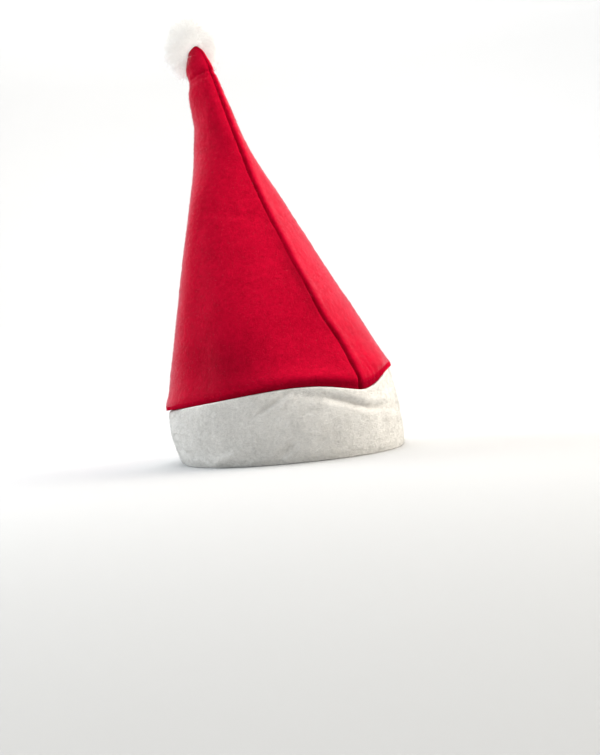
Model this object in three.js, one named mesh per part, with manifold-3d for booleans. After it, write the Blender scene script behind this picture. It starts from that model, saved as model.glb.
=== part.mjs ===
// A santa hat of brushed felt. Two red crown panels are sewn together along the front and the back,
// a doubled white band is sewn round the rim, and a white pompom sits on the tip, which bends backward.
// Millimetres, +Z up. The hat stands on its band, its front faces -Y and the wearer's left is +X.
import * as THREE from "three";
import { mergeVertices } from "three/addons/utils/BufferGeometryUtils.js";
import Module from "manifold-3d";

const wasm = await Module();
wasm.setup();

// Felt
const FELT_THICKNESS = 1.5;
const BAND_THICKNESS = 3; // the band's felt is folded double
const PIECE_GAP = 0.4; // air between two sewn pieces

// Crown seams
const SEAM_GAP = 0.3;
const SEAM_ALLOWANCE = 6; // felt turned inward beside each seam
const SEAM_ALLOWANCE_SHARE = 0.3; // most of it that a narrow section takes, as a share of its depth
const INNER_CLEARANCE = 0.1; // the inside of a narrow section stays clear of the turned felt
const SEAM_GROOVE_DEPTH = 1.6;
const SEAM_GROOVE_WIDTH = 5;
const SEAM_GROOVE_FULL_WIDTH = 30; // half width from which the groove has its full depth
const SEAM_DRIFT = 2.9; // the front seam runs to the left by this much low down, and to the right above
const SEAM_DRIFT_LEVEL = 0.8; // where it changes over
const SEAM_DRIFT_BLEND = 0.2;
const SEAM_DRIFT_FADE = [6, 4]; // above these levels the seam is straight again, and begins to turn back
const SEAM_DRIFT_SPREAD = THREE.MathUtils.degToRad(35); // how far round the felt goes along
const BACK_PINCH = 0.1; // sharpness of the crown at the back seam

// Rim, where the crown meets the band
const RIM_ROLL = 6; // the rim is higher on the left side and lower on the right side
const RIM_DIP = 13; // the rim's dip near the front seam
const RIM_DIP_CENTRE = THREE.MathUtils.degToRad(5);
const RIM_DIP_ANGLE = THREE.MathUtils.degToRad(28);
const RIM_TUCK = 3.6; // the crown's lower edge turns in
const RIM_TUCK_HEIGHT = 4;
const CROWN_FADE_ROWS = 1.5; // rows over which the dip and the roll fade up the crown
const FADE_POWER = 1.5;

// Band
const BAND_FOLD_FLAT = 0.25; // the folded lower edge is pressed flat by this much
const BAND_FOLD_ANGLES = [0, 30, 60, 120, 150, 180];
const BAND_TOP_ROUND = 0.8; // the upper edge is rounded off by this much

// Pompom
const POMPOM_CENTRE = new THREE.Vector3(2, 76, 328);
const POMPOM_CORE_RADIUS = 13;
const POMPOM_CORE_DETAIL = 2;
const POMPOM_RADIUS = 22;
const POMPOM_LOCKS = 46;
const LOCK_RADIUS = 6;
const LOCK_SIDES = 6;
const LOCK_VARIATION = 2.2; // longest locks stand out by this much, shortest fall short by it
const LOCK_VARIATION_TURN = 3.1; // phase between the lengths of neighbouring locks
const LOCK_DROOP = 3; // tips of the locks bend down
const LOCK_CLEAR_ANGLE = THREE.MathUtils.degToRad(52); // no lock hides the bent tip's front
const TIP_FRONT = new THREE.Vector3(-0.25, -0.75, -0.6); // from the pompom towards the crown

// Mesh density
const WALL_COLUMNS = 22; // on each side of the hat
const COLUMN_CROWDING = 0.5; // columns stand closer together near the seams
const CROWN_RIM_LEVELS = [0, 0.03, 0.07, 0.13, 0.22];
const CROWN_LEVEL_STEP = 0.4;
const BAND_LEVELS = [0, 0.06, 0.22, 0.44, 0.66, 0.95, 1.3, 1.65, 1.95];
const SLOPE_STEP = 1e-3;
const MERGE_DISTANCE = 1e-4;
const TIP_ROOM_ROWS = 4; // rows of the crown's end that the pompom may meet
const TIP_ROOM_STEPS = 8;

// Sections of the crown from the rim to the tip: a point on the front seam, one on the back seam, the
// half width between them and how sharp the front is.
const CROWN_SECTIONS = [
  { name: "rim", frontY: -96, frontZ: 58, backY: 102, backZ: 43, halfWidth: 81, nose: 0.2 },
  { name: "skirt", frontY: -63, frontZ: 104, backY: 81, backZ: 97, halfWidth: 71, nose: 0.5 },
  { name: "lower", frontY: -32.5, frontZ: 150, backY: 73.5, backZ: 143, halfWidth: 56, nose: 0.7 },
  { name: "middle", frontY: -2.5, frontZ: 198, backY: 67.5, backZ: 192, halfWidth: 38, nose: 0.6 },
  { name: "upper", frontY: 18, frontZ: 241, backY: 74, backZ: 236, halfWidth: 18.5, nose: 0.3 },
  { name: "neck", frontY: 34.5, frontZ: 275, backY: 75, backZ: 271, halfWidth: 13, nose: 0.2 },
  { name: "crease", frontY: 47, frontZ: 302, backY: 74.5, backZ: 296, halfWidth: 9, nose: 0.2 },
  { name: "cap", frontY: 53, frontZ: 313, backY: 77.5, backZ: 304, halfWidth: 8.8, nose: 0.2 },
  { name: "bend", frontY: 58.5, frontZ: 321, backY: 78, backZ: 311.5, halfWidth: 6.2, nose: 0.2 },
  { name: "tip", frontY: 66.5, frontZ: 326.5, backY: 76.5, backZ: 320.5, halfWidth: 4, nose: 0.2 },
];

// Sections of the band from the rim down to the surface it stands on.
const BAND_SECTIONS = [
  { name: "top", frontY: -93.5, frontZ: 58, backY: 100, backZ: 43, halfWidth: 79, nose: 0.2 },
  { name: "belly", frontY: -98.5, frontZ: 29, backY: 99, backZ: 21, halfWidth: 81, nose: 0.1 },
  { name: "foot", frontY: -100, frontZ: 0, backY: 97, backZ: 0, halfWidth: 81, nose: 0.05 },
];

// Folds and dents of the crown. Each is a soft line across the felt at a level, middle angle and slant
// (levels for each degree), pressed in by its depth; a negative depth stands out. Its height is in levels
// and its spread in degrees.
const CROWN_FOLDS = [
  { name: "rim roll", level: 0.19, angle: -34, slant: 0, depth: -3.2, height: 0.13, spread: 28 },
  { name: "rim roll left", level: 0.2, angle: 30, slant: 0, depth: -1.5, height: 0.14, spread: 14 },
  { name: "rim flare", level: 0, angle: -125, slant: 0, depth: -4.6, height: 0.12, spread: 34 },
  { name: "rim corner", level: 0, angle: 52, slant: 0, depth: -4.2, height: 0.1, spread: 16 },
  { name: "front flat", level: 0.62, angle: -28, slant: 0, depth: 2.6, height: 0.45, spread: 20 },
  { name: "side dent", level: 0.5, angle: -82, slant: 0, depth: 4.5, height: 0.6, spread: 15 },
  { name: "long hollow", level: 1.8, angle: -80, slant: 0, depth: 3, height: 0.8, spread: 15 },
  { name: "cross crease", level: 2.62, angle: -34, slant: -0.004, depth: 0.8, height: 0.12, spread: 24 },
];

// Folds of the band.
const BAND_FOLDS = [
  { name: "front crease", level: 0.52, angle: -4, slant: 0.0115, depth: 3.3, height: 0.12, spread: 27 },
  { name: "lower swell", level: 1.75, angle: -72, slant: -0.02, depth: -2, height: 0.16, spread: 9 },
];

// Outline of a lock of fur from its root in the pompom's middle to its point, as shares of its length
// and of its radius.
const LOCK_PROFILE = [
  { name: "root", reach: 0, radius: 0.6 },
  { name: "fullest", reach: 0.62, radius: 1 },
  { name: "shoulder", reach: 0.88, radius: 0.62 },
  { name: "point", reach: 1, radius: 0 },
];

/** A felt wall through the sections of a table, by level (rows from the first) and angle from the front. */
class FeltWall {
  constructor(sections, fadeRows, shape) {
    const curve = (point) => new THREE.CatmullRomCurve3(sections.map(point), false, "catmullrom", 0.5);
    this.front = curve((row) => new THREE.Vector3(0, row.frontY, row.frontZ));
    this.back = curve((row) => new THREE.Vector3(0, row.backY, row.backZ));
    this.girth = curve((row) => new THREE.Vector3(row.halfWidth, row.nose, 0));
    this.lastLevel = sections.length - 1;
    this.rising = Math.sign(sections[this.lastLevel].frontZ - sections[0].frontZ);
    this.fadeRows = fadeRows;
    this.shape = shape;
  }

  /** The front point, back point, half width and nose of the section at a level. */
  section(level) {
    const share = THREE.MathUtils.clamp(level / this.lastLevel, 0, 1);
    const front = this.front.getPoint(share);
    const back = this.back.getPoint(share);
    const girth = this.girth.getPoint(share);
    return { front, back, halfWidth: girth.x, nose: girth.y };
  }

  /** A point on the outside; angle 0 is the front, positive angles are on the wearer's left. */
  point(level, angle) {
    const { front, back, halfWidth, nose } = this.section(level);
    const frontShare = (1 + Math.cos(angle)) / 2;
    const point = new THREE.Vector3().lerpVectors(back, front, frontShare);
    const sharpness = 1 + THREE.MathUtils.lerp(BACK_PINCH, nose, frontShare);
    point.x = halfWidth * Math.sign(Math.sin(angle)) * Math.abs(Math.sin(angle)) ** sharpness;
    point.z += rimHeight(angle) * Math.max(0, 1 - level / this.fadeRows) ** FADE_POWER;
    this.shape(point, level, angle, { front, back, halfWidth });
    return point;
  }

  /** The outward direction of the wall. */
  normal(level, angle) {
    const below = this.point(Math.max(0, level - SLOPE_STEP), angle);
    const above = this.point(Math.min(this.lastLevel, level + SLOPE_STEP), angle);
    const before = this.point(level, angle - SLOPE_STEP);
    const after = this.point(level, angle + SLOPE_STEP);
    return after.sub(before).cross(above.sub(below)).setLength(this.rising);
  }

  /** A point at a depth under the outside; a negative depth lies outside it. */
  within(level, angle, depth) {
    return this.point(level, angle).addScaledVector(this.normal(level, angle), -depth);
  }
}

/** The turn from one angle to another, at most half a circle either way. */
function angleFrom(start, angle) {
  return Math.atan2(Math.sin(angle - start), Math.cos(angle - start));
}

/** Height of the rim at an angle, against its plain section. */
function rimHeight(angle) {
  const fromDip = angleFrom(RIM_DIP_CENTRE, angle) / RIM_DIP_ANGLE;
  return RIM_ROLL * Math.sin(angle) - RIM_DIP * Math.exp(-(fromDip ** 2));
}

/** Sideways run of the front seam, and of the felt beside it, at a level and angle. */
function seamDrift(level, angle) {
  const [straight, turning] = SEAM_DRIFT_FADE;
  const fade = THREE.MathUtils.clamp((straight - level) / (straight - turning), 0, 1);
  const run = -SEAM_DRIFT * Math.tanh((level - SEAM_DRIFT_LEVEL) / SEAM_DRIFT_BLEND) * fade;
  return run * Math.exp(-((angleFrom(0, angle) / SEAM_DRIFT_SPREAD) ** 2));
}

/** Depth to which the folds of a table press the felt in at a level and angle. */
function foldDepth(folds, level, angle) {
  const fromFront = THREE.MathUtils.radToDeg(angleFrom(0, angle));
  return folds.reduce((sum, fold) => {
    const along = (fromFront - fold.angle) / fold.spread;
    const across = (level - fold.level - fold.slant * (fromFront - fold.angle)) / fold.height;
    return sum + fold.depth * Math.exp(-along * along - across * across);
  }, 0);
}

/** Moves a point of a section towards the section's middle. */
function pressIn(point, depth, { front, back, halfWidth }) {
  const share = depth / halfWidth;
  point.x *= 1 - share;
  point.y = THREE.MathUtils.lerp(point.y, (front.y + back.y) / 2, share);
}

/** Turns the crown's lower edge in, folds the felt and draws its seams in. */
function shapeCrown(point, level, angle, section) {
  const rise = level * (CROWN_SECTIONS[1].frontZ - CROWN_SECTIONS[0].frontZ);
  const tuck = RIM_TUCK * Math.exp(-((rise / RIM_TUCK_HEIGHT) ** 2));
  pressIn(point, tuck + foldDepth(CROWN_FOLDS, level, angle), section);
  const groove = SEAM_GROOVE_DEPTH * Math.min(1, section.halfWidth / SEAM_GROOVE_FULL_WIDTH);
  point.y += Math.cos(angle) * groove * Math.exp(-((point.x / SEAM_GROOVE_WIDTH) ** 2));
}

/** Folds the band, rounds off its upper edge and lets it follow the crown's seam there. */
function shapeBand(point, level, angle, section) {
  const drop = level * (BAND_SECTIONS[0].frontZ - BAND_SECTIONS[1].frontZ);
  const rounding = BAND_TOP_ROUND * Math.exp(-((drop / BAND_TOP_ROUND) ** 2));
  pressIn(point, rounding + foldDepth(BAND_FOLDS, level, angle), section);
  point.x += seamDrift(0, angle) * (1 - level / (BAND_SECTIONS.length - 1));
}

const crownWall = new FeltWall(CROWN_SECTIONS, CROWN_FADE_ROWS, shapeCrown);
const bandWall = new FeltWall(BAND_SECTIONS, BAND_SECTIONS.length - 1, shapeBand);

/** A closed geometry from points and quads; the quads are turned so that it encloses a positive volume. */
function closedGeometry(points, quads) {
  const volume = quads.reduce((sum, [a, b, c, d]) => {
    const diagonal = new THREE.Vector3().crossVectors(points[b], points[c]).dot(points[a]);
    return sum + diagonal + new THREE.Vector3().crossVectors(points[c], points[d]).dot(points[a]);
  }, 0);
  const index = quads.flatMap(([a, b, c, d]) => (volume > 0 ? [a, b, c, a, c, d] : [a, c, b, a, d, c]));
  const geometry = new THREE.BufferGeometry().setFromPoints(points);
  geometry.setIndex(index);
  return geometry;
}

/** Quads between two rows of point numbers of equal length; a closed row also joins its end to its start. */
function strip(lower, upper, closed) {
  const count = closed ? lower.length : lower.length - 1;
  return Array.from({ length: count }, (_, k) => {
    const next = (k + 1) % lower.length;
    return [lower[k], lower[next], upper[next], upper[k]];
  });
}

/** The numbers from start to start + count - 1. */
function numbers(start, count) {
  return Array.from({ length: count }, (_, k) => start + k);
}

/** Angles of the mesh columns on one side, from the front seam to the back seam. */
function columnAngles() {
  return numbers(0, WALL_COLUMNS).map((k) => {
    const turn = (2 * Math.PI * (k + 0.5)) / WALL_COLUMNS;
    return (turn - COLUMN_CROWDING * Math.sin(turn)) / 2;
  });
}

/** One level of a panel: its outside from allowance to allowance, then its inside back again. */
function panelRing(level, side) {
  const { front, back } = crownWall.section(level);
  const allowance = Math.min(SEAM_ALLOWANCE, SEAM_ALLOWANCE_SHARE * (back.y - front.y));
  const edge = SEAM_GAP / 2;
  const innerEdge = edge + FELT_THICKNESS;
  const slope = ((back.z - front.z) / (back.y - front.y)) * Math.min(1, level);
  const turned = (angle, x, depth) => {
    const seam = crownWall.point(level, angle);
    const inward = Math.cos(angle) * depth;
    return new THREE.Vector3(side * x + seamDrift(level, angle), seam.y + inward, seam.z + slope * inward);
  };
  const depths = [allowance, allowance / 2, 0];
  const innerDepths = [allowance, (allowance + FELT_THICKNESS) / 2, FELT_THICKNESS];
  const angles = columnAngles();
  const outerWall = angles.map((angle) => {
    const point = crownWall.point(level, side * angle);
    point.x = side * Math.max(Math.abs(point.x), edge) + seamDrift(level, angle);
    return point;
  });
  const innerWall = angles.map((angle, k) => {
    const point = crownWall.within(level, side * angle, FELT_THICKNESS);
    const least = innerEdge + INNER_CLEARANCE * Math.sin(angle);
    point.x = side * Math.max(Math.abs(point.x), least) + seamDrift(level, angle);
    point.z = level > 0 ? point.z : outerWall[k].z; // the lower edge is cut level with the band
    return point;
  });
  const outside = [
    ...depths.map((depth) => turned(0, edge, depth)),
    ...outerWall,
    ...depths.map((depth) => turned(Math.PI, edge, depth)).reverse(),
  ];
  const inside = [
    ...innerDepths.map((depth) => turned(0, innerEdge, depth)),
    ...innerWall,
    ...innerDepths.map((depth) => turned(Math.PI, innerEdge, depth)).reverse(),
  ];
  return [...outside, ...inside.reverse()];
}

/** Levels of the crown's mesh, close together at the rim. */
function crownLevels() {
  const steps = Math.round((crownWall.lastLevel - CROWN_LEVEL_STEP) / CROWN_LEVEL_STEP);
  const upper = numbers(0, steps + 1).map((k) =>
    THREE.MathUtils.mapLinear(k, 0, steps, CROWN_LEVEL_STEP, crownWall.lastLevel)
  );
  return [...CROWN_RIM_LEVELS, ...upper];
}

/** A crown panel with the felt beside its seams turned in; side 1 is the wearer's left. */
function crownPanel(side) {
  const rings = crownLevels().map((level) => panelRing(level, side));
  const count = rings[0].length;
  const rows = rings.map((_, k) => numbers(k * count, count));
  const quads = rows.slice(1).flatMap((row, k) => strip(rows[k], row, true));
  const edgeQuads = (row) => strip(row.slice(0, count / 2), row.slice(count / 2).reverse(), false);
  const lowerEdge = edgeQuads(rows[0]).map((quad) => quad.reverse());
  const upperEdge = edgeQuads(rows[rows.length - 1]);
  return closedGeometry(rings.flat(), [...lowerEdge, ...quads, ...upperEdge]);
}

/** One slice across the band: down its outside, round the folded lower edge and up its inside. */
function bandSlice(angle) {
  const lift = (point, height) => point.setZ(point.z + height);
  const outside = BAND_LEVELS.map((level) => lift(bandWall.point(level, angle), level ? 0 : -PIECE_GAP));
  const inside = BAND_LEVELS.map((level) => {
    const point = bandWall.point(level, angle);
    const inner = bandWall.within(level, angle, BAND_THICKNESS);
    return new THREE.Vector3(inner.x, inner.y, point.z - (level ? 0 : PIECE_GAP));
  });
  const foot = bandWall.point(bandWall.lastLevel, angle);
  const inward = bandWall.normal(bandWall.lastLevel, angle).setZ(0).normalize().negate();
  const radius = BAND_THICKNESS / 2;
  const fold = BAND_FOLD_ANGLES.map((degrees) => {
    const turn = THREE.MathUtils.degToRad(degrees);
    const height = Math.max(0, radius * (1 - Math.sin(turn)) - BAND_FOLD_FLAT);
    return foot.clone().addScaledVector(inward, radius * (1 - Math.cos(turn))).setZ(height);
  });
  return [...outside, ...fold, ...inside.reverse()];
}

/** The band, a ring of felt folded double. */
function band() {
  const left = columnAngles();
  const right = left.map((angle) => -angle).reverse();
  const angles = [0, ...left, Math.PI, ...right];
  const slices = angles.map(bandSlice);
  const count = slices[0].length;
  const rows = slices.map((_, k) => numbers(k * count, count));
  const quads = rows.flatMap((row, k) => strip(row, rows[(k + 1) % rows.length], true));
  return closedGeometry(slices.flat(), quads);
}

/** A solid for joining and cutting, from a closed geometry. */
function toSolid(geometry) {
  const plain = new THREE.BufferGeometry();
  plain.setAttribute("position", geometry.getAttribute("position").clone());
  plain.setIndex(geometry.getIndex() ? [...geometry.getIndex().array] : null);
  const merged = mergeVertices(plain, MERGE_DISTANCE);
  const corners = [...merged.getIndex().array];
  const triVerts = [];
  for (let k = 0; k < corners.length; k += 3) {
    const [a, b, c] = corners.slice(k, k + 3);
    if (a !== b && b !== c && c !== a) triVerts.push(a, b, c);
  }
  const vertProperties = new Float32Array(merged.getAttribute("position").array);
  const mesh = new wasm.Mesh({ numProp: 3, vertProperties, triVerts: new Uint32Array(triVerts) });
  return new wasm.Manifold(mesh);
}

/** A geometry from a solid. */
function toGeometry(solid) {
  const mesh = solid.getMesh();
  const geometry = new THREE.BufferGeometry();
  geometry.setAttribute("position", new THREE.Float32BufferAttribute(mesh.vertProperties, mesh.numProp));
  geometry.setIndex([...mesh.triVerts]);
  return geometry;
}

/** The bent end of the crown as a filled form, with air round it, which the pompom leaves free. */
function tipRoom() {
  const lowest = crownWall.lastLevel - TIP_ROOM_ROWS;
  const levels = numbers(0, TIP_ROOM_STEPS + 1).map((k) => lowest + (k * TIP_ROOM_ROWS) / TIP_ROOM_STEPS);
  const angles = numbers(0, 2 * WALL_COLUMNS).map((k) => ((k + 0.5) / WALL_COLUMNS) * Math.PI);
  const rings = levels.map((level) => angles.map((angle) => crownWall.within(level, angle, -PIECE_GAP)));
  const { front, back } = crownWall.section(crownWall.lastLevel);
  const beyond = back.clone().sub(front).cross(new THREE.Vector3(1, 0, 0)).setLength(-2 * PIECE_GAP);
  rings.push(rings[rings.length - 1].map((point) => point.clone().add(beyond)));
  const middle = (ring) => new THREE.Box3().setFromPoints(ring).getCenter(new THREE.Vector3());
  const points = [...rings.flat(), middle(rings[0]), middle(rings[rings.length - 1])];
  const count = angles.length;
  const rows = rings.map((_, k) => numbers(k * count, count));
  const quads = rows.slice(1).flatMap((row, k) => strip(rows[k], row, true));
  const fan = (row, centre) => row.map((corner, k) => [centre, corner, row[(k + 1) % count], centre]);
  const lowerFan = fan(rows[0], points.length - 2).map((quad) => quad.reverse());
  const upperFan = fan(rows[rows.length - 1], points.length - 1);
  return toSolid(closedGeometry(points, [...lowerFan, ...quads, ...upperFan]));
}

/** A lock of fur from the pompom's middle outward, its tip bent down. */
function furLock(direction, length) {
  const side = LOCK_PROFILE.map((row) => new THREE.Vector2(row.radius * LOCK_RADIUS, row.reach * length));
  const geometry = new THREE.LatheGeometry([new THREE.Vector2(0, 0), ...side], LOCK_SIDES);
  geometry.applyQuaternion(new THREE.Quaternion().setFromUnitVectors(new THREE.Vector3(0, 1, 0), direction));
  const places = geometry.getAttribute("position");
  for (let k = 0; k < places.count; k += 1) {
    const reach = new THREE.Vector3().fromBufferAttribute(places, k).length() / length;
    places.setZ(k, places.getZ(k) - LOCK_DROOP * reach ** 3);
  }
  geometry.translate(POMPOM_CENTRE.x, POMPOM_CENTRE.y, POMPOM_CENTRE.z);
  return toSolid(geometry);
}

/** The pompom: locks of fur fused to a core, with room for the crown's tip. */
function pompom() {
  const core = new THREE.IcosahedronGeometry(POMPOM_CORE_RADIUS, POMPOM_CORE_DETAIL);
  core.translate(POMPOM_CENTRE.x, POMPOM_CENTRE.y, POMPOM_CENTRE.z);
  const tipFront = TIP_FRONT.clone().normalize();
  const goldenAngle = Math.PI * (3 - Math.sqrt(5));
  let solid = toSolid(core);
  for (let k = 0; k < POMPOM_LOCKS; k += 1) {
    const height = 1 - (2 * (k + 0.5)) / POMPOM_LOCKS;
    const turn = k * goldenAngle;
    const flat = Math.sqrt(1 - height * height);
    const direction = new THREE.Vector3(flat * Math.cos(turn), flat * Math.sin(turn), height);
    const length = POMPOM_RADIUS + LOCK_VARIATION * Math.sin(LOCK_VARIATION_TURN * k);
    if (direction.angleTo(tipFront) > LOCK_CLEAR_ANGLE) solid = solid.add(furLock(direction, length));
  }
  const bodies = solid.subtract(tipRoom()).decompose();
  return toGeometry(bodies.reduce((best, body) => (body.volume() > best.volume() ? body : best)));
}

/** A named piece of the hat. */
function piece(name, geometry, material) {
  const mesh = new THREE.Mesh(geometry, material);
  mesh.name = name;
  return mesh;
}

/** A dull cloth finish. */
function cloth(name, color, roughness) {
  return new THREE.MeshStandardMaterial({ name, color, roughness, metalness: 0 });
}

const redFelt = cloth("red_felt", 0xc4122f, 0.95);
const whiteFelt = cloth("white_felt", 0xe6e2da, 0.95);
const whiteFur = cloth("white_fur", 0xf4f0e8, 1);

const hat = new THREE.Group();
hat.name = "santa_hat";
hat.add(piece("right_panel", crownPanel(-1), redFelt));
hat.add(piece("left_panel", crownPanel(1), redFelt));
hat.add(piece("band", band(), whiteFelt));
hat.add(piece("pompom", pompom(), whiteFur));

export default hat;
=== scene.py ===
"""A santa hat of brushed felt: two red crown panels, a folded white band and a white fur pompom."""
import logging
import math
from dataclasses import astuple, dataclass, field, replace
from enum import Enum
from typing import Any

import bmesh
import bpy
import numpy as np
from bpy.types import ID, Material, Node, NodeSocket, NodeTree, Object
from mathutils import Matrix, Vector, noise
from numpy import ndarray as Array


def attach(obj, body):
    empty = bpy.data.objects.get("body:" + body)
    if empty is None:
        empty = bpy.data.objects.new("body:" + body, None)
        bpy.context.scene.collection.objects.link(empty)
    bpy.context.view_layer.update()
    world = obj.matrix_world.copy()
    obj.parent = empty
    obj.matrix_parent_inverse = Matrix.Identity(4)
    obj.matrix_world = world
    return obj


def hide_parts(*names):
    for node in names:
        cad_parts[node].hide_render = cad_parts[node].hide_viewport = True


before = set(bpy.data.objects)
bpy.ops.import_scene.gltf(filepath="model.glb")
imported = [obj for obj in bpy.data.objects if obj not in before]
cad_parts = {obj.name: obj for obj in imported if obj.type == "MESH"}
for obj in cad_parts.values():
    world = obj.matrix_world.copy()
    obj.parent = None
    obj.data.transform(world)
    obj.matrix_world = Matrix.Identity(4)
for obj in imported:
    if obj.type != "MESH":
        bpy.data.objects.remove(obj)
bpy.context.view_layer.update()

LOG = logging.getLogger("santa_hat")
MM = 0.001
TURN = 2 * math.pi


class Side(Enum):
    """The wearer's side that a crown panel covers."""

    RIGHT = -1
    LEFT = 1


def soft(values: Array, width: float | Array, centre: float = 0.0) -> Array:
    """A soft bump over values: 1 at the centre, fading over the width."""
    return np.exp(-(((values - centre) / width) ** 2))


@dataclass(frozen=True)
class Section:
    """A cross-section of a felt wall in millimetres: front and back point, half width, sharpness in front."""

    name: str
    front_y: float
    front_z: float
    back_y: float
    back_z: float
    half_width: float
    nose: float


@dataclass(frozen=True)
class SoftMark:
    """A soft line or patch on a felt wall.

    The amount is a depth in millimetres (a negative one stands out) or a share of painted shade. The level
    counts sections from the first, angles are degrees from the front, the slant is in levels for each degree,
    the height in levels and the spread in degrees.
    """

    name: str
    level: float
    angle: float
    slant: float
    amount: float
    height: float
    spread: float

    def at(self, levels: Array, angles: Array) -> Array:
        """The mark's amount.

        Args:
            levels: Levels, of a shape that fits the angles.
            angles: Angles in radians.

        Returns:
            The amount at each point.
        """
        turn = np.degrees(angles) - self.angle
        along = turn / self.spread
        across = (levels - self.level - self.slant * turn) / self.height
        return self.amount * np.exp(-(along**2) - across**2)


@dataclass(frozen=True)
class Rim:
    """The line where crown and band meet, in millimetres and degrees."""

    roll: float = 6.0
    dip: float = 13.0
    dip_centre: float = 5.0
    dip_angle: float = 28.0
    tuck: float = 3.6
    tuck_height: float = 4.0
    fade_power: float = 1.5

    def height(self, angles: Array) -> Array:
        """Height of the rim at angles (radians) against its plain section."""
        dip = self.dip * soft(np.degrees(angles), self.dip_angle, self.dip_centre)
        return self.roll * np.sin(angles) - dip


@dataclass(frozen=True)
class SeamRun:
    """How far the front seam, and the felt beside it, runs sideways; in millimetres, levels and degrees."""

    most: float = 2.9
    level: float = 0.8
    blend: float = 0.2
    turning: float = 4.0
    straight: float = 6.0
    spread: float = 35.0

    def shift(self, levels: Array, angles: Array) -> Array:
        """Shift along X.

        Args:
            levels: Levels of the crown, of a shape that fits the angles.
            angles: Angles in radians.

        Returns:
            The shift in millimetres at each point.
        """
        fade = np.clip((self.straight - levels) / (self.straight - self.turning), 0.0, 1.0)
        run = -self.most * np.tanh((levels - self.level) / self.blend) * fade
        return run * soft(np.degrees(angles), self.spread)


@dataclass(frozen=True)
class Puckers:
    """Small gathers beside a sewn line, in millimetres; the beat makes them uneven."""

    depth: float
    length: float
    reach: float
    beat: float


@dataclass(frozen=True)
class Wrinkles:
    """Smooth random bumps: their height, their size in the points' own unit and a seed that moves them."""

    height: float
    size: float
    seed: float

    def at(self, points: Array) -> Array:
        """Heights of the bumps, up or down, at points."""
        flat = points.reshape(-1, 3) / self.size + self.seed
        return self.height * np.array([noise.noise(Vector(p)) for p in flat]).reshape(points.shape[:-1])


CROWN_SECTIONS = (
    Section("rim", -96.0, 58.0, 102.0, 43.0, 81.0, 0.2),
    Section("skirt", -63.0, 104.0, 81.0, 97.0, 71.0, 0.5),
    Section("lower", -32.5, 150.0, 73.5, 143.0, 56.0, 0.7),
    Section("middle", -2.5, 198.0, 67.5, 192.0, 38.0, 0.6),
    Section("upper", 18.0, 241.0, 74.0, 236.0, 17.8, 0.1),
    Section("neck", 34.5, 275.0, 75.0, 271.0, 12.3, -0.1),
    Section("crease", 47.0, 302.0, 74.5, 296.0, 9.0, 0.0),
    Section("cap", 53.0, 313.0, 77.5, 304.0, 8.2, 0.2),
    Section("bend", 58.5, 321.0, 78.0, 311.5, 5.4, 0.2),
    Section("tip", 67.5, 326.5, 75.5, 321.5, 3.0, 0.2),
)
BAND_SECTIONS = (
    Section("top", -93.5, 58.0, 100.0, 43.0, 79.0, 0.2),
    Section("belly", -98.5, 29.0, 99.0, 21.0, 81.0, 0.1),
    Section("foot", -100.0, 0.0, 97.0, 0.0, 81.0, 0.05),
)
CROWN_FOLDS = (
    SoftMark("rim roll", 0.145, -34.0, 0.0, -1.5, 0.1, 28.0),
    SoftMark("rim roll left", 0.20, 30.0, 0.0, -1.5, 0.14, 14.0),
    SoftMark("rim flare", 0.0, -125.0, 0.0, -4.6, 0.12, 34.0),
    SoftMark("rim corner", 0.0, 52.0, 0.0, -4.2, 0.1, 16.0),
    SoftMark("front flat", 0.62, -28.0, 0.0, 2.6, 0.45, 20.0),
    SoftMark("side dent", 0.50, -82.0, 0.0, 4.5, 0.6, 15.0),
    SoftMark("long hollow", 1.80, -80.0, 0.0, 3.0, 0.8, 15.0),
    SoftMark("cross crease", 2.62, -34.0, -0.004, 0.8, 0.07, 24.0),
    SoftMark("neck roll", 4.4, -48.0, 0.0, -1.3, 1.0, 26.0),
    SoftMark("neck hollow", 4.65, -125.0, 0.0, 1.6, 0.35, 40.0),
    SoftMark("neck bulge", 5.45, -125.0, 0.0, -0.9, 0.25, 40.0),
    SoftMark("under cap", 5.8, -70.0, 0.0, 0.9, 0.13, 60.0),
    SoftMark("tip crease", 5.97, -60.0, 0.0, 1.5, 0.075, 60.0),
    SoftMark("tip crease left", 5.97, 70.0, 0.0, 1.5, 0.075, 50.0),
)
# Painted shade in soft patches: a shadowed strip beside the front seam, the shadow in the side dent and a
# darker band above the rim.
CROWN_SHADES = (
    SoftMark("seam strip", 1.65, -6.0, 0.0, 0.46, 0.8, 13.0),
    SoftMark("side dent", 0.43, -67.0, 0.0, 0.29, 0.4, 20.0),
    SoftMark("above the rim", 0.4, -20.0, 0.0, 0.14, 0.2, 17.0),
)
BAND_FOLDS = (
    SoftMark("front crease", 0.52, -4.0, 0.0115, 3.3, 0.12, 27.0),
    SoftMark("crease tail", 0.33, -46.0, -0.03, 2.2, 0.09, 9.0),
    SoftMark("lower swell", 1.75, -72.0, -0.02, -2.0, 0.16, 9.0),
    SoftMark("diagonal fold", 1.66, -43.0, -0.04, 1.5, 0.14, 6.0),
    SoftMark("side tuck", 2.0, -127.0, 0.0, 5.0, 0.75, 40.0),
    SoftMark("foot roll", 2.0, 0.0, 0.0, 1.0, 0.13, 900.0),
)
SEAM_RUN = SeamRun()


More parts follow.
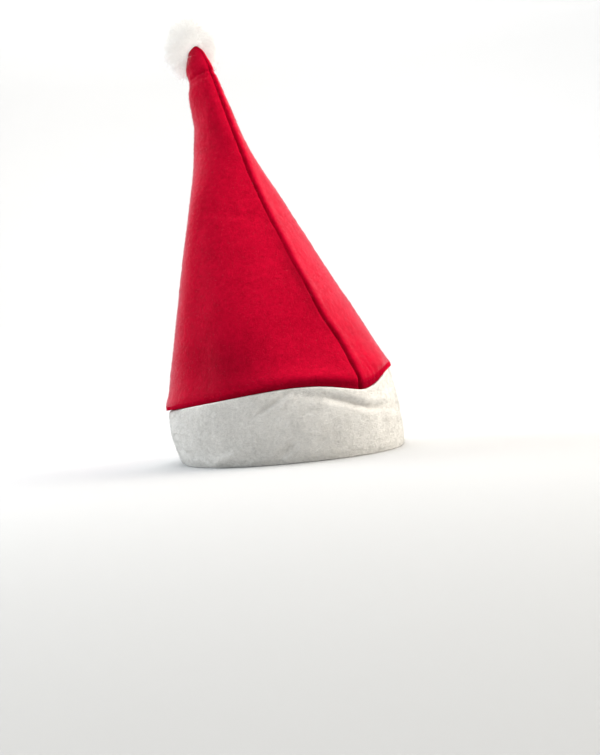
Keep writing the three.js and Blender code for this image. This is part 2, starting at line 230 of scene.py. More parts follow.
@dataclass
class FeltWall:
    """A felt wall through the sections of a table; the rim's dip and roll fade out over a number of rows.

    Each kind of wall has its own edge_depth and finish_points.
    """

    sections: tuple[Section, ...]
    folds: tuple[SoftMark, ...]
    rim: Rim
    fade_rows: float

    BACK_PINCH = 0.1
    END_CROWDING = 0.0
    STEP = 1e-3
    LEAST_LENGTH = 1e-12
    LENGTH_STEPS = 900
    ANGLE_STEPS = 721

    def __post_init__(self) -> None:
        """Turns the sections into a table of numbers."""
        self.table = np.array([astuple(section)[1:] for section in self.sections])
        self.last_level = len(self.sections) - 1
        self.rising = np.sign(self.table[-1, 1] - self.table[0, 1])

    def rows(self, levels: Array) -> Array:
        """Table rows between the sections, on a smooth curve through them.

        Args:
            levels: Levels, one or more.

        Returns:
            One row of six columns for each level.
        """
        before, after = 2 * self.table[0] - self.table[1], 2 * self.table[-1] - self.table[-2]
        table = np.vstack([before, self.table, after])
        start = np.clip(np.floor(levels).astype(int), 0, self.last_level - 1)
        u = (levels - start)[:, None]
        p0, p1, p2, p3 = (table[start + k] for k in range(4))
        squared = (2 * p0 - 5 * p1 + 4 * p2 - p3) * u**2
        cubed = (3 * p1 - p0 - 3 * p2 + p3) * u**3
        return 0.5 * (2 * p1 + (p2 - p0) * u + squared + cubed)

    def points(self, levels: Array, angles: Array) -> Array:
        """Points on the outside in millimetres.

        Args:
            levels: One level for each row of angles.
            angles: Rows of angles in radians; 0 is the front, positive ones are on the wearer's left.

        Returns:
            An array of rows, columns and three coordinates.
        """
        front_y, front_z, back_y, back_z, half_width, nose = (c[:, None] for c in self.rows(levels).T)
        level = np.broadcast_to(levels[:, None], angles.shape)
        share = (1 + np.cos(angles)) / 2
        sharpness = 1 + nose * share + self.BACK_PINCH * (1 - share)
        x = half_width * np.sign(np.sin(angles)) * np.abs(np.sin(angles)) ** sharpness
        y = back_y + (front_y - back_y) * share
        z = back_z + (front_z - back_z) * share
        fade = np.maximum(0.0, 1 - level / self.fade_rows) ** self.rim.fade_power
        z = z + self.rim.height(angles) * fade
        depth = sum(fold.at(level, angles) for fold in self.folds) + self.edge_depth(level, angles)
        press = depth / half_width
        middle = (front_y + back_y) / 2
        points = np.stack([x * (1 - press), y + (middle - y) * press, z], axis=-1)
        return self.finish_points(points, level, angles, half_width)

    def normals(self, levels: Array, angles: Array) -> Array:
        """Outward directions.

        Args:
            levels: One level for each row of angles.
            angles: Rows of angles in radians.

        Returns:
            A direction of length 1 at each point.
        """
        below = self.points(np.maximum(levels - self.STEP, 0.0), angles)
        above = self.points(np.minimum(levels + self.STEP, self.last_level), angles)
        before = self.points(levels, angles - self.STEP)
        after = self.points(levels, angles + self.STEP)
        across = np.cross(after - before, above - below) * self.rising
        return across / np.maximum(np.linalg.norm(across, axis=-1, keepdims=True), self.LEAST_LENGTH)

    def level_at_lengths(self, spacing: float, edge_spacing: float, edge_reach: float) -> Array:
        """Levels an even length apart, closer at the sewn edge.

        Args:
            spacing: Distance between rows in millimetres.
            edge_spacing: Distance at the edge.
            edge_reach: Length over which rows stay close.

        Returns:
            Levels from the edge to the other end.
        """
        fine = np.linspace(0.0, self.last_level, self.LENGTH_STEPS)
        rows = self.rows(fine)
        line = np.stack([(rows[:, 0] + rows[:, 2]) / 2, (rows[:, 1] + rows[:, 3]) / 2], axis=-1)
        lengths = np.concatenate([[0.0], np.cumsum(np.linalg.norm(np.diff(line, axis=0), axis=-1))])
        near = np.arange(0.0, edge_reach, edge_spacing)
        share = np.linspace(0.0, 1.0, max(2, round((lengths[-1] - edge_reach) / spacing)))
        share += self.END_CROWDING * share * (1 - share)
        far = edge_reach + (lengths[-1] - edge_reach) * share
        return np.interp(np.concatenate([near, far]), lengths, fine)

    def even_angles(self, levels: Array, count: int, crowding: float, end: float) -> Array:
        """Angles from the front on that divide each section by its length, closer at both ends.

        Args:
            levels: The levels.
            count: Angles in a row.
            crowding: From 0, even, to nearly 1, very close at the ends.
            end: Last angle in radians.

        Returns:
            One row of angles for each level.
        """
        fine = np.linspace(0.0, end, self.ANGLE_STEPS)
        ring = self.points(levels, np.broadcast_to(fine, (len(levels), fine.size)).copy())
        steps = np.linalg.norm(np.diff(ring, axis=1), axis=-1)
        lengths = np.concatenate([np.zeros((len(levels), 1)), np.cumsum(steps, axis=1)], axis=1)
        share = (np.arange(count) + 0.5) / count
        share = share - crowding * np.sin(TURN * share) / TURN
        return np.array([np.interp(share * row[-1], row, fine) for row in lengths])


class CrownWall(FeltWall):
    """The crown's wall, with its seams drawn in and gathered a little, and painted shade under the rim and
    along the seams; millimetres, degrees and shares.
    """

    END_CROWDING = 0.4
    ROW_LENGTH = 46.0
    RIM_RADIUS = 90.0
    RIM_PUCKERS = Puckers(depth=0.13, length=9.0, reach=6.0, beat=2.3)
    GATHER_ANGLE = 16.0
    GATHER_SPREAD = 20.0
    GATHER_LEAST = 0.35
    GATHER_SWAY = 1.7
    GATHER_RISE = 3.0
    GROOVE_DEPTH = 2.6
    GROOVE_WIDTH = 1.7
    GROOVE_FULL_WIDTH = 18.0
    RIDGE_EDGE = 1.3
    RIDGE_OFFSET = 2.6
    RIDGE_WIDTH = 2.0
    RIDGE_HEIGHT = 0.15
    ROLL_OFFSET = 5.0
    ROLL_WIDTH = 3.5
    ROLL_HEIGHT = 0.6
    SEAM_PUCKERS = Puckers(depth=0.22, length=10.0, reach=6.0, beat=0.37)
    PUCKER_CLEAR = 1.5
    PUCKER_STAGGER = 1.1
    # Painted shade under the rim roll and in the seams' grooves; the CORNER_ numbers keep it lighter at the
    # lit corner.
    UNDER_SHADE = 0.6
    UNDER_EVEN = 0.4
    UNDER_LEAST = 0.35
    UNDER_HEIGHT = 5.0
    UNDER_ANGLE = -15.0
    UNDER_SPREAD = 55.0
    UNDER_SHARPNESS = 4
    CORNER_ANGLE = 50.0
    CORNER_SPREAD = 30.0
    CORNER_LIGHT = 0.85
    SEAM_SHADE = 0.6
    SEAM_SHADE_WIDTH = 1.7

    def edge_depth(self, levels: Array, angles: Array) -> Array:
        """Depth by which the lower edge turns in, with its gathers.

        Args:
            levels: Levels of the points.
            angles: Their angles in radians.

        Returns:
            Depths in millimetres.
        """
        rise = levels * self.ROW_LENGTH
        tuck = self.rim.tuck * soft(rise, self.rim.tuck_height)
        gathers = self.RIM_PUCKERS
        turn = angles * self.RIM_RADIUS / gathers.length
        strength = self.GATHER_LEAST + soft(np.degrees(angles), self.GATHER_SPREAD, self.GATHER_ANGLE)
        wave = np.sin(turn * TURN + self.GATHER_SWAY * np.sin(turn * gathers.beat)) * strength
        return tuck + gathers.depth * wave * soft(rise, gathers.reach, self.GATHER_RISE)

    def finish_points(self, points: Array, levels: Array, angles: Array, half_width: Array) -> Array:
        """Draws the seams in and gathers the felt beside them.

        Args:
            points: The wall's points, which are moved.
            levels: Their levels.
            angles: Their angles in radians.
            half_width: Half the width of each row's section.

        Returns:
            The same points.
        """
        full = np.minimum(1.0, half_width / self.GROOVE_FULL_WIDTH)
        x = points[..., 0]
        sunk = soft(x, np.where(x < 0, self.RIDGE_EDGE, self.GROOVE_WIDTH))
        ridge = self.RIDGE_HEIGHT * soft(x, self.RIDGE_WIDTH, -self.RIDGE_OFFSET)
        roll = self.ROLL_HEIGHT * soft(x, self.ROLL_WIDTH, self.ROLL_OFFSET)
        line = (self.GROOVE_DEPTH * sunk - np.where(x < 0, ridge, roll)) * full
        pucker = self.SEAM_PUCKERS
        run = levels * self.ROW_LENGTH / pucker.length * TURN
        beside = soft(x, pucker.reach) - soft(x, self.PUCKER_CLEAR)
        turn = run + np.sign(x) * self.PUCKER_STAGGER + np.sin(run * pucker.beat)
        wave = np.sin(turn) * beside * pucker.depth
        points[..., 1] += np.cos(angles) * (line + wave * full)
        return points

    def painted_rim_seam_shade(self, levels: Array, angles: Array, x: Array) -> Array:
        """Painted shade, darkest where the felt turns under at the rim and along the seams' grooves.

        Args:
            levels: One level for each row of angles.
            angles: Rows of angles in radians.
            x: Distances from the seams' plane.

        Returns:
            A share from 0 to 1 at each point.
        """
        front = soft(np.degrees(angles), self.UNDER_SPREAD, self.UNDER_ANGLE)
        near = self.UNDER_LEAST + (1 - self.UNDER_LEAST) * front
        rise = levels[:, None] * self.ROW_LENGTH / (self.UNDER_HEIGHT * near)
        under = self.UNDER_SHADE * (self.UNDER_EVEN + (1 - self.UNDER_EVEN) * near)
        under = under * np.exp(-(rise**self.UNDER_SHARPNESS))
        return np.maximum(under, self.SEAM_SHADE * soft(x, self.SEAM_SHADE_WIDTH))

    def shade(self, painted_rim_seam_shade: Array, levels: Array, angles: Array) -> Array:
        """How much shade is painted on the felt, from 0 to 1: under the rim and along the seams, less at the
        lit corner, and in soft patches.
        """
        dim = 1 - self.CORNER_LIGHT * soft(np.degrees(angles), self.CORNER_SPREAD, self.CORNER_ANGLE)
        return np.maximum.reduce([painted_rim_seam_shade * dim, *(p.at(levels[:, None], angles) for p in CROWN_SHADES)])


class BandWall(FeltWall):
    """The band's wall, rounded off at its upper edge; sizes in millimetres."""

    TOP_ROUND = 0.8
    ROW_LENGTH = 29.0

    def edge_depth(self, levels: Array, angles: Array) -> Array:
        """Depth (mm) of the rounding along the upper edge."""
        return self.TOP_ROUND * soft(levels * self.ROW_LENGTH, self.TOP_ROUND)

    def finish_points(self, points: Array, levels: Array, angles: Array, half_width: Array) -> Array:
        """Lets the upper edge follow the crown's seam."""
        points[..., 0] += SEAM_RUN.shift(np.zeros_like(levels), angles) * (1 - levels / self.last_level)
        return points


def ring_pairs(count: int) -> list[tuple[int, int]]:
    """Each number of a closed ring with the next one."""
    return [(k, (k + 1) % count) for k in range(count)]


def grid_faces(rows: int, columns: int, closed: bool, flip: bool) -> list[tuple[int, ...]]:
    """Quads of a grid of points.

    Args:
        rows: Rows of points.
        columns: Points in a row.
        closed: Whether the last column joins the first.
        flip: Whether the faces look the other way.

    Returns:
        Corner numbers of each quad.
    """
    count = columns if closed else columns - 1
    r, c = np.meshgrid(np.arange(rows - 1), np.arange(count), indexing="ij")
    n = (c + 1) % columns
    low, high = r * columns, (r + 1) * columns
    quads = np.stack([low + c, low + n, high + n, high + c], axis=-1).reshape(-1, 4)
    return [tuple(q) for q in (quads[:, ::-1] if flip else quads).tolist()]


def mesh_object(name: str, points: Array, faces: list[tuple[int, ...]]) -> Object:
    """A smooth mesh object at the origin.

    Args:
        name: The object's name.
        points: Points in millimetres.
        faces: Corner numbers of the faces.

    Returns:
        The linked object.
    """
    mesh = bpy.data.meshes.new(name)
    mesh.from_pydata((points.reshape(-1, 3) * MM).tolist(), [], faces)
    mesh.validate()
    mesh.shade_smooth()
    return linked(name, mesh)


def linked(name: str, data: ID) -> Object:
    """An object for a mesh, light or camera.

    Args:
        name: The object's name.
        data: What it shows.

    Returns:
        The object, linked to the scene.
    """
    obj = bpy.data.objects.new(name, data)
    bpy.context.scene.collection.objects.link(obj)
    return obj


def plain_mesh(obj: Object, name: str) -> Object:
    """Turns what an object's modifiers make into a new plain object and removes the old one.

    Args:
        obj: The object with modifiers.
        name: Name of the new object.

    Returns:
        The new object.
    """
    mesh = bpy.data.meshes.new_from_object(obj.evaluated_get(bpy.context.evaluated_depsgraph_get()))
    bpy.data.objects.remove(obj)
    mesh.name = name
    return linked(name, mesh)


def point_attribute(obj: Object, name: str, values: Array) -> None:
    """Writes one number for each point of an object under a name, in the order of the points."""
    attribute = obj.data.attributes.new(name, "FLOAT", "POINT")
    attribute.data.foreach_set("value", np.ascontiguousarray(values, np.float32).ravel())


@dataclass
class NodeMaker:
    """Adds nodes to a tree, with their settings, values and links."""

    tree: NodeTree

    def expose(self, direction: str, kind: str, *names: str) -> dict[str, str]:
        """Adds sockets of one kind to the tree's interface and gives their identifiers by name."""
        new = self.tree.interface.new_socket
        return {name: new(name, in_out=direction, socket_type=kind).identifier for name in names}

    def fill(self, node: Node, inputs: dict[int | str, Any]) -> None:
        """Sets or links a node's inputs.

        Args:
            node: The node.
            inputs: Its inputs by name or number; a socket is linked, and anything else is set as the value.
        """
        for key, value in inputs.items():
            if isinstance(value, NodeSocket):
                self.tree.links.new(value, node.inputs[key])
            else:
                node.inputs[key].default_value = value

    def add(self, kind: str, inputs: dict[int | str, Any] | None = None, **settings: Any) -> Any:
        """Adds a node.

        Args:
            kind: The node's type.
            inputs: Its inputs, as for fill.
            settings: The node's own properties.

        Returns:
            The node's outputs.
        """
        node = self.tree.nodes.new(kind)
        for name, value in settings.items():
            setattr(node, name, value)
        self.fill(node, inputs or {})
        return node.outputs

    def math(self, operation: str, first: Any, second: Any) -> NodeSocket:
        """Result of an operation on two numbers or sockets."""
        return self.add("ShaderNodeMath", {0: first, 1: second}, operation=operation)["Value"]

    def vector(self, operation: str, first: Any, second: Any) -> NodeSocket:
        """Result of an operation on two vectors or sockets; SCALE takes a number second."""
        key = "Scale" if operation == "SCALE" else 1
        return self.add("ShaderNodeVectorMath", {0: first, key: second}, operation=operation)["Vector"]

    def grain(self, where: Any, scale: Any, detail: float, **shape: float) -> Any:
        """Outputs of smooth noise at a place; shape holds its other inputs, such as Roughness."""
        return self.add("ShaderNodeTexNoise", {"Vector": where, "Scale": scale, "Detail": detail, **shape})


class NapGroup:
    """Shader node group for brushed fibre: mottled colour and the height of its nap."""

    NAME = "brushed_nap"
    ROUGHNESS = 0.65
    PATCH_DETAIL = 2.0
    DETAIL = 3.0
    MOTTLE_BEND = 0.6
    FIBRE_BEND = 1.4
    FIBRE_SHARE = 0.5
    PILE_SHARE = 0.78
    DEEP_FROM = 0.36
    LIGHT_FROM = 0.64

    @classmethod
    def get(cls) -> NodeTree:
        """The group, built on first use."""
        return bpy.data.node_groups.get(cls.NAME) or cls.build()

    @classmethod
    def build(cls) -> NodeTree:
        """Builds the group.

        Returns:
            The new node tree.
        """
        maker = NodeMaker(bpy.data.node_groups.new(cls.NAME, "ShaderNodeTree"))
        maker.expose("INPUT", "NodeSocketColor", "Deep", "Light")
        maker.expose("INPUT", "NodeSocketFloat", "Patch Scale", "Mottle Scale", "Fibre Scale")
        maker.expose("INPUT", "NodeSocketVector", "Comb")
        maker.expose("OUTPUT", "NodeSocketColor", "Color")
        maker.expose("OUTPUT", "NodeSocketFloat", "Height")
        given = maker.add("NodeGroupInput")
        place = maker.add("ShaderNodeTexCoord")["Object"]
        combed = maker.vector("MULTIPLY", place, given["Comb"])
        patches, mottle, fibres = (
            maker.grain(where, given[scale], detail, Roughness=cls.ROUGHNESS, Distortion=bend)["Fac"]
            for where, scale, detail, bend in (
                (place, "Patch Scale", cls.PATCH_DETAIL, 0.0),
                (place, "Mottle Scale", cls.DETAIL, cls.MOTTLE_BEND),
                (combed, "Fibre Scale", cls.DETAIL, cls.FIBRE_BEND),
            )
        )
        pile = maker.add("ShaderNodeMix", {0: cls.FIBRE_SHARE, 2: mottle, 3: fibres}, data_type="FLOAT")[0]
        share = maker.add("ShaderNodeMix", {0: cls.PILE_SHARE, 2: patches, 3: pile}, data_type="FLOAT")[0]
        reach = {"Value": share, "From Min": cls.DEEP_FROM, "From Max": cls.LIGHT_FROM}
        spread = maker.add("ShaderNodeMapRange", reach)["Result"]
        tones = {0: spread, 6: given["Deep"], 7: given["Light"]}
        tone = maker.add("ShaderNodeMix", tones, data_type="RGBA")[2]
        maker.add("NodeGroupOutput", {"Color": tone, "Height": pile})
        return maker.tree


@dataclass(frozen=True)
class FibreFinish:
    """A brushed cloth or fur finish; a shaded one darkens its colour by the piece's painted shade attribute,
    and a glowing one gives off painted light.
    """

    name: str
    deep: tuple[float, float, float]
    light: tuple[float, float, float]
    sheen: float
    sheen_roughness: float
    sheen_tint: tuple[float, float, float]
    patch_scale: float = 50.0
    mottle_scale: float = 300.0
    fibre_scale: float = 700.0
    comb: tuple[float, float, float] = (1.0, 1.0, 0.5)
    bump: float = 0.6
    bump_distance: float = 0.0012
    roughness: float = 0.95
    specular: float = 0.2
    painted_glow: float = 0.0
    shaded: bool = False

    # Tone of the painted shade, as a share of the deep tone.
    SHADE_TONE = 0.1

    def material(self) -> Material:
        """The finish as a material, built on first use."""
        return bpy.data.materials.get(self.name) or self.build()

    def build(self) -> Material:
        """Builds the material.

        Returns:
            The new material.
        """
        material = bpy.data.materials.new(self.name)
        material.use_nodes = True
        maker = NodeMaker(material.node_tree)
        inputs = {
            "Deep": (*self.deep, 1.0),
            "Light": (*self.light, 1.0),
            "Patch Scale": self.patch_scale,
            "Mottle Scale": self.mottle_scale,
            "Fibre Scale": self.fibre_scale,
            "Comb": self.comb,
        }
        nap = maker.add("ShaderNodeGroup", inputs, node_tree=NapGroup.get())
        surface = {
            "Base Color": nap["Color"],
            "Roughness": self.roughness,
            "Specular IOR Level": self.specular,
            "Sheen Weight": self.sheen,
            "Sheen Roughness": self.sheen_roughness,
            "Sheen Tint": (*self.sheen_tint, 1.0),
            # Painted light: the emission makes a fibre finish glow, standing in for light that scatters
            # through it.
            "Emission Color": (*self.light, 1.0),
            "Emission Strength": self.painted_glow,
        }
        if self.bump:
            relief = {"Strength": self.bump, "Distance": self.bump_distance, "Height": nap["Height"]}
            surface["Normal"] = maker.add("ShaderNodeBump", relief)["Normal"]
        # Painted shade: the colour darkens towards a tenth of the deep tone as the piece's painted shade
        # attribute rises.
        if self.shaded:
            shade = maker.add("ShaderNodeAttribute", attribute_name="shade")["Fac"]
            dark = (*(self.SHADE_TONE * tone for tone in self.deep), 1.0)
            tones = {0: shade, 6: nap["Color"], 7: dark}
            surface["Base Color"] = maker.add("ShaderNodeMix", tones, data_type="RGBA")[2]
        maker.fill(material.node_tree.nodes["Principled BSDF"], surface)
        return material


RED_FELT = FibreFinish(
    "crown_felt", deep=(0.44, 0.0014, 0.019), light=(0.66, 0.0032, 0.033), sheen=0.7, sheen_roughness=0.28,
    sheen_tint=(1.0, 0.66, 0.74), specular=0.0, shaded=True,
)
# The red felt without sheen, for faces with painted shade, so that sheen does not lighten the painted shade.
PAINTED_SHADE_FELT = replace(RED_FELT, name="crown_pressed", sheen=0.0)
RED_NAP = FibreFinish(
    "crown_nap", deep=(0.45, 0.0015, 0.02), light=(0.68, 0.004, 0.036), sheen=0.45, sheen_roughness=0.3,
    sheen_tint=(1.0, 0.66, 0.72), bump=0.0, specular=0.0,
)
WHITE_FELT = FibreFinish(
    "band_felt", deep=(0.64, 0.62, 0.588), light=(0.91, 0.885, 0.845), sheen=0.15, sheen_roughness=0.4,
    sheen_tint=(1.0, 0.99, 0.96), mottle_scale=420.0, fibre_scale=820.0, comb=(0.4, 0.4, 1.0), specular=0.1,
)
WHITE_NAP = replace(
    WHITE_FELT, name="band_nap", deep=(0.73, 0.71, 0.68), light=(0.99, 0.968, 0.93), sheen=0.1,
    sheen_roughness=0.5, sheen_tint=(1.0, 1.0, 0.98), bump=0.0,
)
# The fur's glow is painted light, standing in for light that scatters through white fur.
WHITE_FUR = FibreFinish(
    "pompom_fur", deep=(0.9, 0.885, 0.862), light=(0.965, 0.955, 0.937), sheen=0.2, sheen_roughness=0.5,
    sheen_tint=(1.0, 0.99, 0.97), bump=0.0, specular=0.1, painted_glow=0.25,
)


@dataclass
class FibreCoat:
    """Fibres that stand on a surface, scattered and turned by Geometry Nodes; lengths in millimetres."""

    name: str
    finish: FibreFinish
    per_mm2: float
    length: float
    length_spread: float
    radius: float
    lean: float
    clump_size: float
    clump_lean: float
    tuft_size: float = 2.2
    droop: float = 0.0
    bends: int = 1
    curl: float = 0.0
    seed: int = 1

    SIDES = 3
    TAPER = 0.6
    THIN_BELOW = 0.4
    THICK_ABOVE = 0.6
    THICKEST = 2.0
    TUFT_DETAIL = 1.0
    CLUMP_DETAIL = 2.0
    CLUMP_MIDDLE = (0.5, 0.5, 0.5)

    def fibre(self) -> Object:
        """One fibre of unit length along Z, tapered and curled.

        Returns:
            A mesh object that is removed after use.
        """
        ring = np.arange(self.SIDES) * TURN / self.SIDES
        points = []
        for k in range(self.bends):
            reach = k / self.bends
            radius = self.radius / self.length * (1 - self.TAPER * reach)
            shift = self.curl * reach**2
            points += [(shift + radius * math.cos(a), radius * math.sin(a), reach) for a in ring]
        points.append((self.curl, 0.0, 1.0))
        faces = grid_faces(self.bends, self.SIDES, True, False)
        last = (self.bends - 1) * self.SIDES
        faces += [(last + k, last + n, len(points) - 1) for k, n in ring_pairs(self.SIDES)]
        return mesh_object(f"{self.name}_fibre", np.array(points) / MM, faces)

    def tree(self, fibre: Object) -> tuple[NodeTree, dict[str, str]]:
        """The Geometry Nodes tree.

        Args:
            fibre: The fibre to scatter.

        Returns:
            The tree and the identifiers of its inputs by name.
        """
        maker = NodeMaker(bpy.data.node_groups.new(f"{self.name}_tree", "GeometryNodeTree"))
        maker.expose("OUTPUT", "NodeSocketGeometry", "Geometry")
        maker.expose("INPUT", "NodeSocketGeometry", "Geometry")
        names = maker.expose("INPUT", "NodeSocketFloat", "Density", "Length", "Length Spread", "Lean")
        names |= maker.expose("INPUT", "NodeSocketFloat", "Clump Scale", "Clump Lean", "Tuft Scale")
        names |= maker.expose("INPUT", "NodeSocketVector", "Droop")
        names |= maker.expose("INPUT", "NodeSocketInt", "Seed")
        given = maker.add("NodeGroupInput")
        place = maker.add("GeometryNodeInputPosition")["Position"]
        growth, reach = (
            maker.add("GeometryNodeInputNamedAttribute", {"Name": name}, data_type="FLOAT")["Attribute"]
            for name in ("growth", "reach")
        )

        tufts = {
            "Value": maker.grain(place, given["Tuft Scale"], self.TUFT_DETAIL)["Fac"],
            "From Min": self.THIN_BELOW,
            "From Max": self.THICK_ABOVE,
            "To Max": self.THICKEST,
        }
        thick = maker.add("ShaderNodeMapRange", tufts)["Result"]
        density = maker.math("MULTIPLY", maker.math("MULTIPLY", given["Density"], growth), thick)
        ground = {"Mesh": given["Geometry"], "Density": density, "Seed": given["Seed"]}
        spots = maker.add("GeometryNodeDistributePointsOnFaces", ground)

        clump = maker.grain(place, given["Clump Scale"], self.CLUMP_DETAIL)["Color"]
        clump = maker.vector("SUBTRACT", clump, self.CLUMP_MIDDLE)
        ends = {"Min": (-1.0, -1.0, -1.0), "Max": (1.0, 1.0, 1.0), "Seed": given["Seed"]}
        loose = maker.add("FunctionNodeRandomValue", ends, data_type="FLOAT_VECTOR")["Value"]
        aim = maker.vector("ADD", spots["Normal"], maker.vector("SCALE", clump, given["Clump Lean"]))
        aim = maker.vector("ADD", aim, maker.vector("SCALE", loose, given["Lean"]))
        aim = maker.vector("ADD", aim, given["Droop"])
        turn = maker.add("FunctionNodeAlignRotationToVector", {"Vector": aim}, axis="Z")["Rotation"]
        spin = maker.add("FunctionNodeRandomValue", {"Min": 0.0, "Max": TURN}, data_type="FLOAT")[1]
        about = {"Axis": (0.0, 0.0, 1.0), "Angle": spin}
        spin = maker.add("FunctionNodeAxisAngleToRotation", about)["Rotation"]
        turns = {"Rotation": turn, "Rotate By": spin}
        turn = maker.add("FunctionNodeRotateRotation", turns, rotation_space="LOCAL")["Rotation"]

        shortest = maker.math("SUBTRACT", given["Length"], given["Length Spread"])
        longest = maker.math("ADD", given["Length"], given["Length Spread"])
        length = maker.add("FunctionNodeRandomValue", {2: shortest, 3: longest}, data_type="FLOAT")[1]
        fibres = {
            "Points": spots["Points"],
            "Instance": maker.add("GeometryNodeObjectInfo", {"Object": fibre})["Geometry"],
            "Rotation": turn,
            "Scale": maker.math("MULTIPLY", length, reach),
        }
        made = maker.add("GeometryNodeInstanceOnPoints", fibres)["Instances"]
        made = maker.add("GeometryNodeRealizeInstances", {"Geometry": made})["Geometry"]
        dress = {"Geometry": made, "Material": self.finish.material()}
        maker.add("NodeGroupOutput", {"Geometry": maker.add("GeometryNodeSetMaterial", dress)["Geometry"]})
        return maker.tree, names

    def grow(self, ground: Object, growth: Array, reach: Array) -> Object:
        """Grows the fibres on a ground, which is used up.

        Args:
            ground: A mesh object.
            growth: Share of the full density, one value for each of its points.
            reach: Share of the full length.

        Returns:
            The fibres as one plain mesh object.
        """
        point_attribute(ground, "growth", growth)
        point_attribute(ground, "reach", reach)
        fibre = self.fibre()
        modifier = ground.modifiers.new("fibres", "NODES")
        modifier.node_group, names = self.tree(fibre)
        values = {
            "Density": self.per_mm2 / MM**2,
            "Length": self.length * MM,
            "Length Spread": self.length_spread * MM,
            "Lean": self.lean,
            "Clump Scale": 1 / (self.clump_size * MM),
            "Clump Lean": self.clump_lean,
            "Tuft Scale": 1 / (self.tuft_size * MM),
            "Droop": (0.0, 0.0, -self.droop),
            "Seed": self.seed,
        }
        for name, value in values.items():
            modifier[names[name]] = value
        made = plain_mesh(ground, self.name)
        made.data.shade_smooth()
        bpy.data.objects.remove(fibre)
        return made


